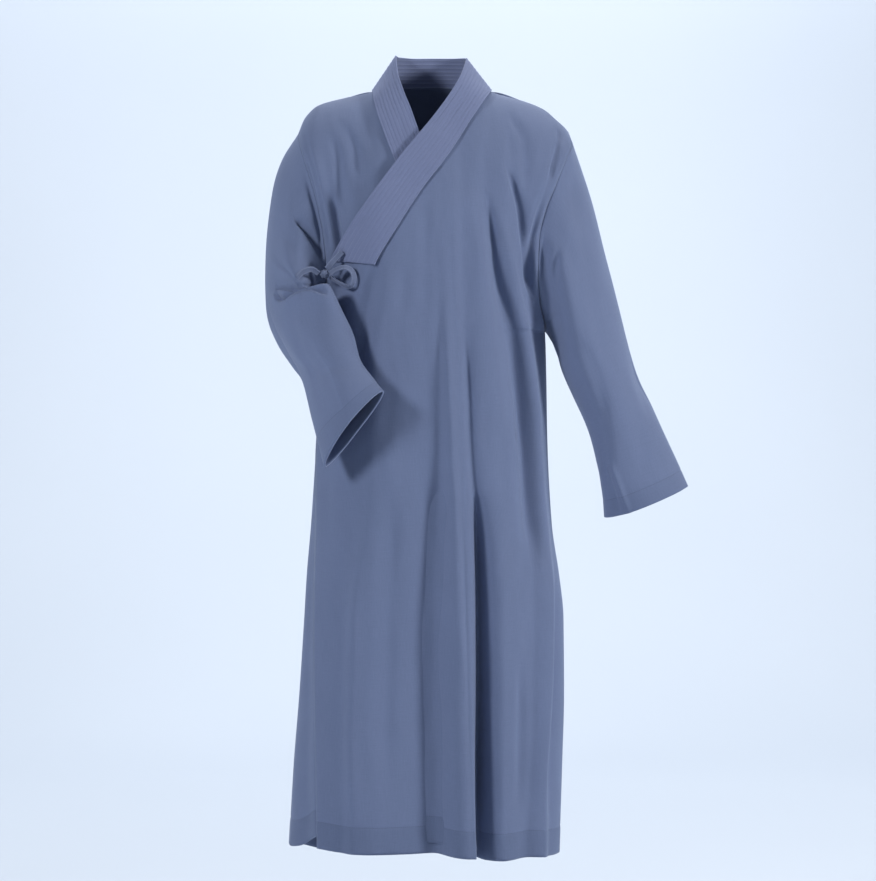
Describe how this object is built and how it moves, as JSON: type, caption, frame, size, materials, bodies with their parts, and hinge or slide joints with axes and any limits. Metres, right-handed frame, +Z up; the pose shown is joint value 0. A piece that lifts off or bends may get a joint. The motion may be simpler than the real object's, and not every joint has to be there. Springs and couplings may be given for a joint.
{
  "type": "buddhist monk robe",
  "caption": "Long cross-over monk's robe in its worn, hollow shape, with a topstitched collar band, open sleeves and a side tie.",
  "frame": {"origin": "middle of the neck, at the height where the neck meets the shoulders, where the wearer's shoulders hold the robe", "axes": "+Z up, -Y to the front of the robe, +X to the wearer's left"},
  "size_m": [0.6844, 0.353, 1.3025],
  "materials": {
    "panel_cloth": "matte",
    "band_cloth": "matte",
    "tie_cloth": "matte"
  },
  "bodies": {
    "root": {"back": "panel_cloth", "front_outer": "panel_cloth", "front_inner": "panel_cloth", "sleeve_left": "panel_cloth", "sleeve_right": "panel_cloth", "collar": "band_cloth", "tie_tab": "tie_cloth", "tie_loop": "tie_cloth", "tie_leaf": "tie_cloth", "tie_knot": "tie_cloth"}
  },
  "joints": []
}
